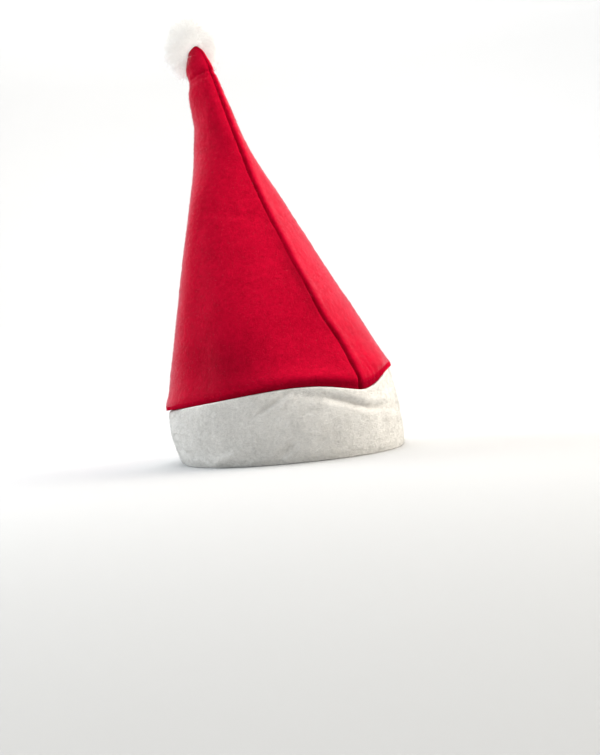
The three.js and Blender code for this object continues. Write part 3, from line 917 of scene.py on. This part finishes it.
@dataclass
class CrownPanel:
    """One red felt panel of the crown, with the felt beside its seams turned in; sizes in millimetres."""

    name: str
    side: Side
    wall: CrownWall
    thickness: float = 1.5
    seam_gap: float = 0.2
    inner_clearance: float = 0.1
    allowance: float = 6.0
    allowance_share: float = 0.3
    columns: int = 132
    crowding: float = 0.78
    row_spacing: float = 1.6
    edge_spacing: float = 0.6
    edge_reach: float = 9.0
    fine: Wrinkles = Wrinkles(0.16, 5.0, 3.0)
    broad: Wrinkles = Wrinkles(0.45, 26.0, 9.0)
    painted_shade_from: float = 0.05
    bare_edge: int = 3
    bare_tip: int = 12
    nap_thinning_under_shade: float = 1.8
    flat: tuple[float, float] = (0.30, 0.345)
    flat_area: float = 0.052
    skin: Array = field(init=False, repr=False)
    shade: Array = field(init=False, repr=False)

    def build(self) -> Object:
        """Builds and dresses the panel.

        Returns:
            The panel's object.
        """
        sign = self.side.value
        levels = self.wall.level_at_lengths(self.row_spacing, self.edge_spacing, self.edge_reach)
        angles = self.wall.even_angles(levels, self.columns, self.crowding, sign * math.pi)
        normals = self.wall.normals(levels, angles)
        outer = self.wall.points(levels, angles)
        outer = outer + normals * (self.fine.at(outer) + self.broad.at(outer))[..., None]
        edge = self.seam_gap / 2
        outer[..., 0] = sign * np.maximum(np.abs(outer[..., 0]), edge)
        inner = outer - normals * self.thickness
        inner_edge = edge + self.thickness + self.inner_clearance * np.sin(np.abs(angles))
        inner[..., 0] = sign * np.maximum(np.abs(inner[..., 0]), inner_edge)
        inner[0, :, 2] = outer[0, :, 2]
        # Painted shade under the rim and along the seams, and in soft patches, for the panel's outside.
        painted_rim_seam_shade = self.wall.painted_rim_seam_shade(levels, angles, outer[..., 0])
        self.shade = self.wall.shade(painted_rim_seam_shade, levels, angles)
        run = SEAM_RUN.shift(levels[:, None], angles)
        outer[..., 0] += run
        inner[..., 0] += run
        self.skin = outer
        front = self.turned_in(levels, 0.0, 1.0)
        back = self.turned_in(levels, sign * math.pi, -1.0)
        outside = np.concatenate([front[0], outer, back[0][:, ::-1]], axis=1)
        inside = np.concatenate([front[1], inner, back[1][:, ::-1]], axis=1)
        obj = self.thick(outside, inside)
        # Painted shade on the felt turned in at the seams; none on the inside face.
        turned = np.full((len(levels), front[0].shape[1]), self.wall.SEAM_SHADE)
        plain = np.zeros(inside.shape[:2])
        point_attribute(obj, "shade", np.concatenate([turned, self.shade, turned, plain], axis=1))
        self.dress(obj, np.concatenate([turned, painted_rim_seam_shade, turned, plain], axis=1))
        return obj

    def dress(self, obj: Object, painted_rim_seam_shade: Array) -> None:
        """Gives the panel its felt, without sheen where shade is painted under the rim and along the seams.

        Args:
            obj: The panel, all quads.
            painted_rim_seam_shade: The painted shade under the rim and along the seams, from 0 to 1, in the
                order of the points.
        """
        obj.data.materials.append(RED_FELT.material())
        obj.data.materials.append(PAINTED_SHADE_FELT.material())
        corners = np.empty(len(obj.data.loops), np.int32)
        obj.data.loops.foreach_get("vertex_index", corners)
        share = painted_rim_seam_shade.ravel()[corners].reshape(-1, 4).mean(axis=1)
        obj.data.polygons.foreach_set("material_index", (share > self.painted_shade_from).astype(np.int32))

    def turned_in(self, levels: Array, angle: float, inward: float) -> tuple[Array, Array]:
        """The felt turned in beside a seam.

        Args:
            levels: The panel's levels.
            angle: The seam's angle in radians.
            inward: 1 at the front seam and -1 at the back seam.

        Returns:
            Grids of the faces towards the other panel and away from it, from the free edge on.
        """
        rows = self.wall.rows(levels)
        depth_between = rows[:, 2] - rows[:, 0]
        slope = (rows[:, 3] - rows[:, 1]) / depth_between * np.minimum(1.0, levels)
        allowance = np.minimum(self.allowance, self.allowance_share * depth_between)
        seam = self.wall.points(levels, np.full((len(levels), 1), angle))[:, 0]
        run = SEAM_RUN.shift(levels, np.full_like(levels, angle))[:, None]
        edge = self.seam_gap / 2
        faces = []
        for x, start in ((edge, 0.0), (edge + self.thickness, self.thickness)):
            depths = np.stack([allowance, (allowance + start) / 2, np.full_like(allowance, start)], axis=1)
            grid = np.repeat(seam[:, None], depths.shape[1], axis=1)
            grid[..., 0] = self.side.value * x + run
            grid[..., 1] += inward * depths
            grid[..., 2] += slope[:, None] * inward * depths
            faces.append(grid)
        return faces[0], faces[1]

    def thick(self, outside: Array, inside: Array) -> Object:
        """A closed sheet between two grids.

        Args:
            outside: Grid of the outer face.
            inside: Grid of the inner face, of the same shape.

        Returns:
            The linked object.
        """
        rows, columns = outside.shape[:2]
        loop = np.concatenate([outside, inside[:, ::-1]], axis=1)
        flip = self.side is Side.RIGHT
        faces = grid_faces(rows, 2 * columns, True, flip)
        for row, turned in ((0, not flip), (rows - 1, flip)):
            start, end = row * 2 * columns, (row + 1) * 2 * columns - 1
            for k in range(columns - 1):
                quad = (start + k, start + k + 1, end - 1 - k, end - k)
                faces.append(quad[::-1] if turned else quad)
        return mesh_object(self.name, loop, faces)

    def nap(self) -> Object:
        """The nap on the panel's outer face.

        Returns:
            The fibres' object.
        """
        rows, columns = self.skin.shape[:2]
        faces = grid_faces(rows, columns, False, self.side is Side.RIGHT)
        ground = mesh_object(f"{self.name}_ground", self.skin, faces)
        growth = np.zeros((rows, columns))
        growth[self.bare_edge : -self.bare_tip, self.bare_edge : -self.bare_edge] = 1.0
        # Fewer nap fibres where shade is painted, so those places look darker.
        growth *= np.clip(1 - self.nap_thinning_under_shade * self.shade, 0.0, 1.0)
        return FibreCoat(
            f"{self.name}_nap", RED_NAP, per_mm2=0.85, length=1.3, length_spread=0.4, radius=0.05, lean=1.1,
            clump_size=7.0, clump_lean=2.0, droop=0.7, seed=5 + self.side.value,
        ).grow(ground, growth, np.ones_like(growth))


@dataclass
class Band:
    """The white felt band, a strip folded double along its lower edge; sizes in millimetres."""

    name: str
    wall: BandWall
    thickness: float = 3.0
    layer_gap: float = 0.3
    fold_flat: float = 0.25
    fold_room: float = 0.06
    seam_gap: float = 0.4
    columns: int = 300
    row_spacing: float = 1.7
    edge_spacing: float = 0.35
    edge_reach: float = 2.0
    fold_steps: int = 13
    fine: Wrinkles = Wrinkles(0.22, 6.0, 5.0)
    broad: Wrinkles = Wrinkles(0.5, 24.0, 2.0)
    rough_gain: float = 6.0
    bare_edge: int = 4
    flat: tuple[float, float] = (0.575, 0.112)
    skin: Array = field(init=False, repr=False)

    def build(self) -> Object:
        """Builds and dresses the band.

        Returns:
            The band's object.
        """
        levels = self.wall.level_at_lengths(self.row_spacing, self.edge_spacing, self.edge_reach)
        levels = levels[levels < self.wall.last_level - self.fold_room]
        turn = np.linspace(-math.pi, math.pi, self.columns, endpoint=False)
        angles = np.broadcast_to(turn, (len(levels), self.columns)).copy()
        normals = self.level_normals(levels, angles)
        outer = self.wall.points(levels, angles)
        rough = self.fine.at(outer) + self.broad.at(outer)
        outer = outer + normals * (rough * np.minimum(1.0, levels * self.rough_gain)[:, None])[..., None]
        outer[0, :, 2] -= self.seam_gap
        last_level = np.array([float(self.wall.last_level)])
        foot = self.wall.points(last_level, angles[:1])[0]
        foot_out = self.level_normals(last_level, angles[:1])[0]
        layer = (self.thickness - self.layer_gap) / 2
        outside = self.lap(outer, normals, foot, foot_out, 0.0)
        between = self.lap(outer, normals, foot, foot_out, layer)
        self.skin = outside[: len(levels) + self.fold_steps // 2]
        loop = np.concatenate([outside, between[::-1]], axis=0)
        faces = grid_faces(len(loop), self.columns, True, True)
        last = (len(loop) - 1) * self.columns
        faces += [(last + n, last + k, k, n) for k, n in ring_pairs(self.columns)]
        obj = mesh_object(self.name, loop, faces)
        obj.data.materials.append(WHITE_FELT.material())
        return obj

    def level_normals(self, levels: Array, angles: Array) -> Array:
        """The wall's outward directions, turned level and of length 1."""
        level = self.wall.normals(levels, angles) * (1.0, 1.0, 0.0)
        return level / np.linalg.norm(level, axis=-1, keepdims=True)

    def lap(self, outer: Array, normals: Array, foot: Array, foot_out: Array, depth: float) -> Array:
        """A face of the folded strip: down outside, round the fold and up inside.

        Args:
            outer: Grid of the outside.
            normals: Its level outward directions.
            foot: Points at the foot.
            foot_out: Level outward directions there.
            depth: Depth of the face in the felt.

        Returns:
            The face's grid.
        """
        radius = self.thickness / 2
        reach = radius - depth
        down = outer - normals * depth
        up = (outer - normals * (self.thickness - depth))[::-1]
        fold = []
        for turn in np.linspace(0.0, math.pi, self.fold_steps):
            row = foot - foot_out * (radius - reach * math.cos(turn))
            row[..., 2] = max(0.0, radius - self.fold_flat - reach * math.sin(turn))
            fold.append(row)
        return np.concatenate([down, np.array(fold), up], axis=0)

    def nap(self) -> Object:
        """The nap on the band's outer face.

        Returns:
            The fibres' object.
        """
        rows = len(self.skin)
        ground = mesh_object(f"{self.name}_ground", self.skin, grid_faces(rows, self.columns, True, True))
        growth = np.zeros((rows, self.columns))
        growth[self.bare_edge : -(self.fold_steps // 2)] = 1.0
        return FibreCoat(
            f"{self.name}_nap", WHITE_NAP, per_mm2=1.6, length=1.7, length_spread=0.6, radius=0.07, lean=1.0,
            clump_size=5.0, clump_lean=3.0, tuft_size=2.4, droop=0.3, seed=21,
        ).grow(ground, growth, np.ones_like(growth))


@dataclass
class Pompom:
    """The white fur pompom on the bent tip; sizes in millimetres, angles in degrees."""

    name: str
    wall: CrownWall
    centre: tuple[float, float, float] = (2.0, 76.0, 328.0)
    core_radius: float = 13.0
    fineness: int = 5
    lumps: Wrinkles = Wrinkles(0.05, 7.0, 4.0)
    tufts: Wrinkles = Wrinkles(0.4, 0.3, 8.0)
    tip_front: tuple[float, float, float] = (-0.25, -0.75, -0.6)
    clear_angle: float = 29.0
    clear_blend: float = 4.0
    short_angle: float = 34.0
    short_share: float = 0.25
    hang: float = 0.5
    rise: float = 0.5
    tip_gap: float = 0.4
    tip_rows: float = 4.0
    tip_rings: int = 30
    tip_columns: int = 48

    def build(self) -> tuple[Object, Object]:
        """Builds the core and its fur.

        Returns:
            The core's object and the fur's object.
        """
        core = self.core(f"{self.name}_core")
        core.data.materials.append(WHITE_FUR.material())
        ground = self.core(f"{self.name}_ground")
        places = np.array([v.co for v in ground.data.vertices]) / MM - np.array(self.centre)
        places /= np.linalg.norm(places, axis=-1, keepdims=True)
        front = np.array(self.tip_front) / np.linalg.norm(self.tip_front)
        beyond = np.degrees(np.arccos(np.clip(places @ front, -1.0, 1.0))) - self.clear_angle
        longer = np.where(places[:, 2] < 0, self.hang, self.rise) * places[:, 2] ** 2
        reach = 1 + self.tufts.at(places) + longer
        reach *= self.short_share + (1 - self.short_share) * np.clip(beyond / self.short_angle, 0.0, 1.0)
        fur = FibreCoat(
            f"{self.name}_fur", WHITE_FUR, per_mm2=5.4, length=10.6, length_spread=2.2, radius=0.2, lean=0.3,
            clump_size=6.0, clump_lean=2.6, droop=0.12, bends=3, curl=0.3, seed=11,
        ).grow(ground, np.clip(beyond / self.clear_blend, 0.0, 1.0), reach)
        return core, fur

    def core(self, name: str) -> Object:
        """The lumpy core, cut out for the crown's tip.

        Args:
            name: The object's name.

        Returns:
            The core's object.
        """
        ball = bmesh.new()
        bmesh.ops.create_icosphere(ball, subdivisions=self.fineness, radius=self.core_radius)
        ball.verts.index_update()
        places = np.array([v.co for v in ball.verts])
        faces = [tuple(v.index for v in face.verts) for face in ball.faces]
        ball.free()
        lumpy = places * (1 + self.lumps.at(places))[:, None] + np.array(self.centre)
        obj = mesh_object(name, lumpy, faces)
        room = self.tip_room()
        cut = obj.modifiers.new("tip", "BOOLEAN")
        cut.operation = "DIFFERENCE"
        cut.solver = "EXACT"
        cut.object = room
        made = plain_mesh(obj, name)
        bpy.data.objects.remove(room)
        return made

    def tip_room(self) -> Object:
        """The crown's end as a filled form with air round it.

        Returns:
            A mesh object that is removed after the cut.
        """
        columns = self.tip_columns
        levels = np.linspace(self.wall.last_level - self.tip_rows, self.wall.last_level, self.tip_rings)
        turn = (np.arange(columns) + 0.5) / columns * TURN - math.pi
        angles = np.broadcast_to(turn, (len(levels), columns)).copy()
        rings = self.wall.points(levels, angles) + self.wall.normals(levels, angles) * self.tip_gap
        row = self.wall.rows(levels[-1:])[0]
        beyond = np.array([0.0, -(row[3] - row[1]), row[2] - row[0]])
        rings = np.concatenate([rings, rings[-1:] + beyond / np.linalg.norm(beyond) * 2 * self.tip_gap])
        ends = rings[[0, -1]].mean(axis=1)
        points = np.concatenate([rings.reshape(-1, 3), ends])
        faces = grid_faces(len(rings), columns, True, False)
        low, high = len(points) - 2, len(points) - 1
        last = (len(rings) - 1) * columns
        for k, n in ring_pairs(columns):
            faces += [(n, k, low), (last + k, last + n, high)]
        return mesh_object("tip_room", points, faces)


@dataclass(frozen=True)
class SoftBox:
    """A soft square light; lengths in metres, power in watts."""

    name: str
    place: tuple[float, float, float]
    aim: tuple[float, float, float]
    size: float
    power: float
    colour: tuple[float, float, float] = (1.0, 1.0, 1.0)

    def build(self) -> None:
        """Adds the light."""
        data = bpy.data.lights.new(self.name, "AREA")
        data.shape = "SQUARE"
        data.size = self.size
        data.energy = self.power
        data.color = self.colour
        obj = linked(self.name, data)
        obj.location = self.place
        obj.rotation_euler = (Vector(self.place) - Vector(self.aim)).to_track_quat("Z", "Y").to_euler()


SOFT_BOXES = (
    SoftBox("key", (1.15, -0.42, 0.95), (0.0, 0.0, 0.16), 0.9, 9.0, (1.0, 0.92, 0.78)),
    SoftBox("front", (0.96, -1.15, 1.1), (0.0, 0.0, 0.16), 0.9, 23.5, (1.0, 0.95, 0.85)),
    SoftBox("fill", (-1.4, 0.25, 0.7), (0.0, 0.0, 0.16), 0.9, 4.4, (0.8, 0.92, 1.0)),
    SoftBox("edge", (-0.42, 1.4, 0.8), (0.0, 0.0, 0.16), 0.8, 22.0, (0.88, 0.95, 1.0)),
    SoftBox("top", (0.0, -0.12, 1.2), (0.0, 0.0, 0.0), 0.9, 8.0),
    SoftBox("wall", (0.72, 0.96, 2.2), (1.45, 1.92, 0.6), 2.0, 91.0),
)


@dataclass
class Studio:
    """Camera, lights, floor and backdrop; lengths in metres, angles in degrees."""

    azimuth: float = -37.0
    elevation: float = 1.5
    roll: float = 6.0
    distance: float = 0.956
    target: tuple[float, float, float] = (0.0145, -0.007, 0.056)
    lens: float = 60.0
    sensor: float = 36.0
    nearest: float = 0.01
    floor_radius: float = 1.6
    sweep: float = 0.8
    sweep_start: float = 0.1
    sweep_steps: int = 14
    wall_height: float = 2.6
    floor_columns: int = 96
    floor_tone: float = 0.48
    floor_roughness: float = 0.9
    floor_specular: float = 0.1
    world_light: float = 0.03

    def camera(self) -> None:
        """Places the camera at the photograph's angle."""
        a, e, r = (math.radians(v) for v in (self.azimuth, self.elevation, self.roll))
        back = Vector((math.sin(a) * math.cos(e), -math.cos(a) * math.cos(e), math.sin(e)))
        level = Vector((math.cos(a), math.sin(a), 0.0))
        right = level * math.cos(r) - back.cross(level) * math.sin(r)
        up = back.cross(right)
        data = bpy.data.cameras.new("camera")
        data.lens = self.lens
        data.sensor_width = self.sensor
        data.clip_start = self.nearest
        obj = linked("camera", data)
        place = Vector(self.target) + back * self.distance
        obj.matrix_world = Matrix.Translation(place) @ Matrix((right, up, back)).transposed().to_4x4()
        bpy.context.scene.camera = obj

    def floor(self) -> Object:
        """A pale floor that sweeps up into a backdrop all round.

        Returns:
            The floor's object.
        """
        flat, sweep = self.floor_radius, self.sweep
        bends = np.linspace(self.sweep_start, math.pi / 2, self.sweep_steps)
        rings = [(flat / 2, 0.0), (flat, 0.0)]
        rings += [(flat + sweep * math.sin(t), sweep - sweep * math.cos(t)) for t in bends]
        rings.append((flat + sweep, self.wall_height))
        turn = np.arange(self.floor_columns) / self.floor_columns * TURN
        points = np.array([[(r * math.cos(t), r * math.sin(t), z) for t in turn] for r, z in rings])
        faces = grid_faces(len(rings), self.floor_columns, True, True)
        faces.append(tuple(range(self.floor_columns)))
        obj = mesh_object("floor", points / MM, faces)
        material = bpy.data.materials.new("pale_floor")
        material.use_nodes = True
        surface = {
            "Base Color": (self.floor_tone, self.floor_tone, self.floor_tone, 1.0),
            "Roughness": self.floor_roughness,
            "Specular IOR Level": self.floor_specular,
        }
        NodeMaker(material.node_tree).fill(material.node_tree.nodes["Principled BSDF"], surface)
        obj.data.materials.append(material)
        return obj

    def build(self) -> Object:
        """Sets up the whole studio.

        Returns:
            The floor's object.
        """
        self.camera()
        scene = bpy.context.scene
        scene.view_settings.view_transform = "Standard"
        world = bpy.data.worlds.new("studio")
        world.use_nodes = True
        light = {"Color": (1.0, 1.0, 1.0, 1.0), "Strength": self.world_light}
        NodeMaker(world.node_tree).fill(world.node_tree.nodes["Background"], light)
        scene.world = world
        for box in SOFT_BOXES:
            box.build()
        return self.floor()


def seat(obj: Object, node: str | None) -> None:
    """Lets a piece ride on the hat and hides the solid that it stands for.

    Args:
        obj: The piece.
        node: The solid that it stands for, if any.
    """
    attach(obj, "root")
    if node:
        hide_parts(node)
    LOG.info("%s: %d faces", obj.name, len(obj.data.polygons))


def main() -> None:
    """Builds the hat's pieces in order, then the studio."""
    logging.basicConfig(level=logging.INFO, format="%(name)s %(message)s")
    rim = Rim()
    crown = CrownWall(CROWN_SECTIONS, CROWN_FOLDS, rim, fade_rows=1.5)
    band_wall = BandWall(BAND_SECTIONS, BAND_FOLDS, rim, fade_rows=len(BAND_SECTIONS) - 1)

    panels = {
        "right_panel": CrownPanel("felt_panel_right", Side.RIGHT, crown),
        "left_panel": CrownPanel("felt_panel_left", Side.LEFT, crown),
    }
    for node, panel in panels.items():
        obj = panel.build()
        seat(obj, node)
        seat(panel.nap(), None)

    band = Band("felt_band", band_wall)
    obj = band.build()
    seat(obj, "band")
    seat(band.nap(), None)

    core, fur = Pompom("pompom", crown).build()
    seat(core, "pompom")
    seat(fur, None)

    Studio().build()


if __name__ == "__main__":
    main()
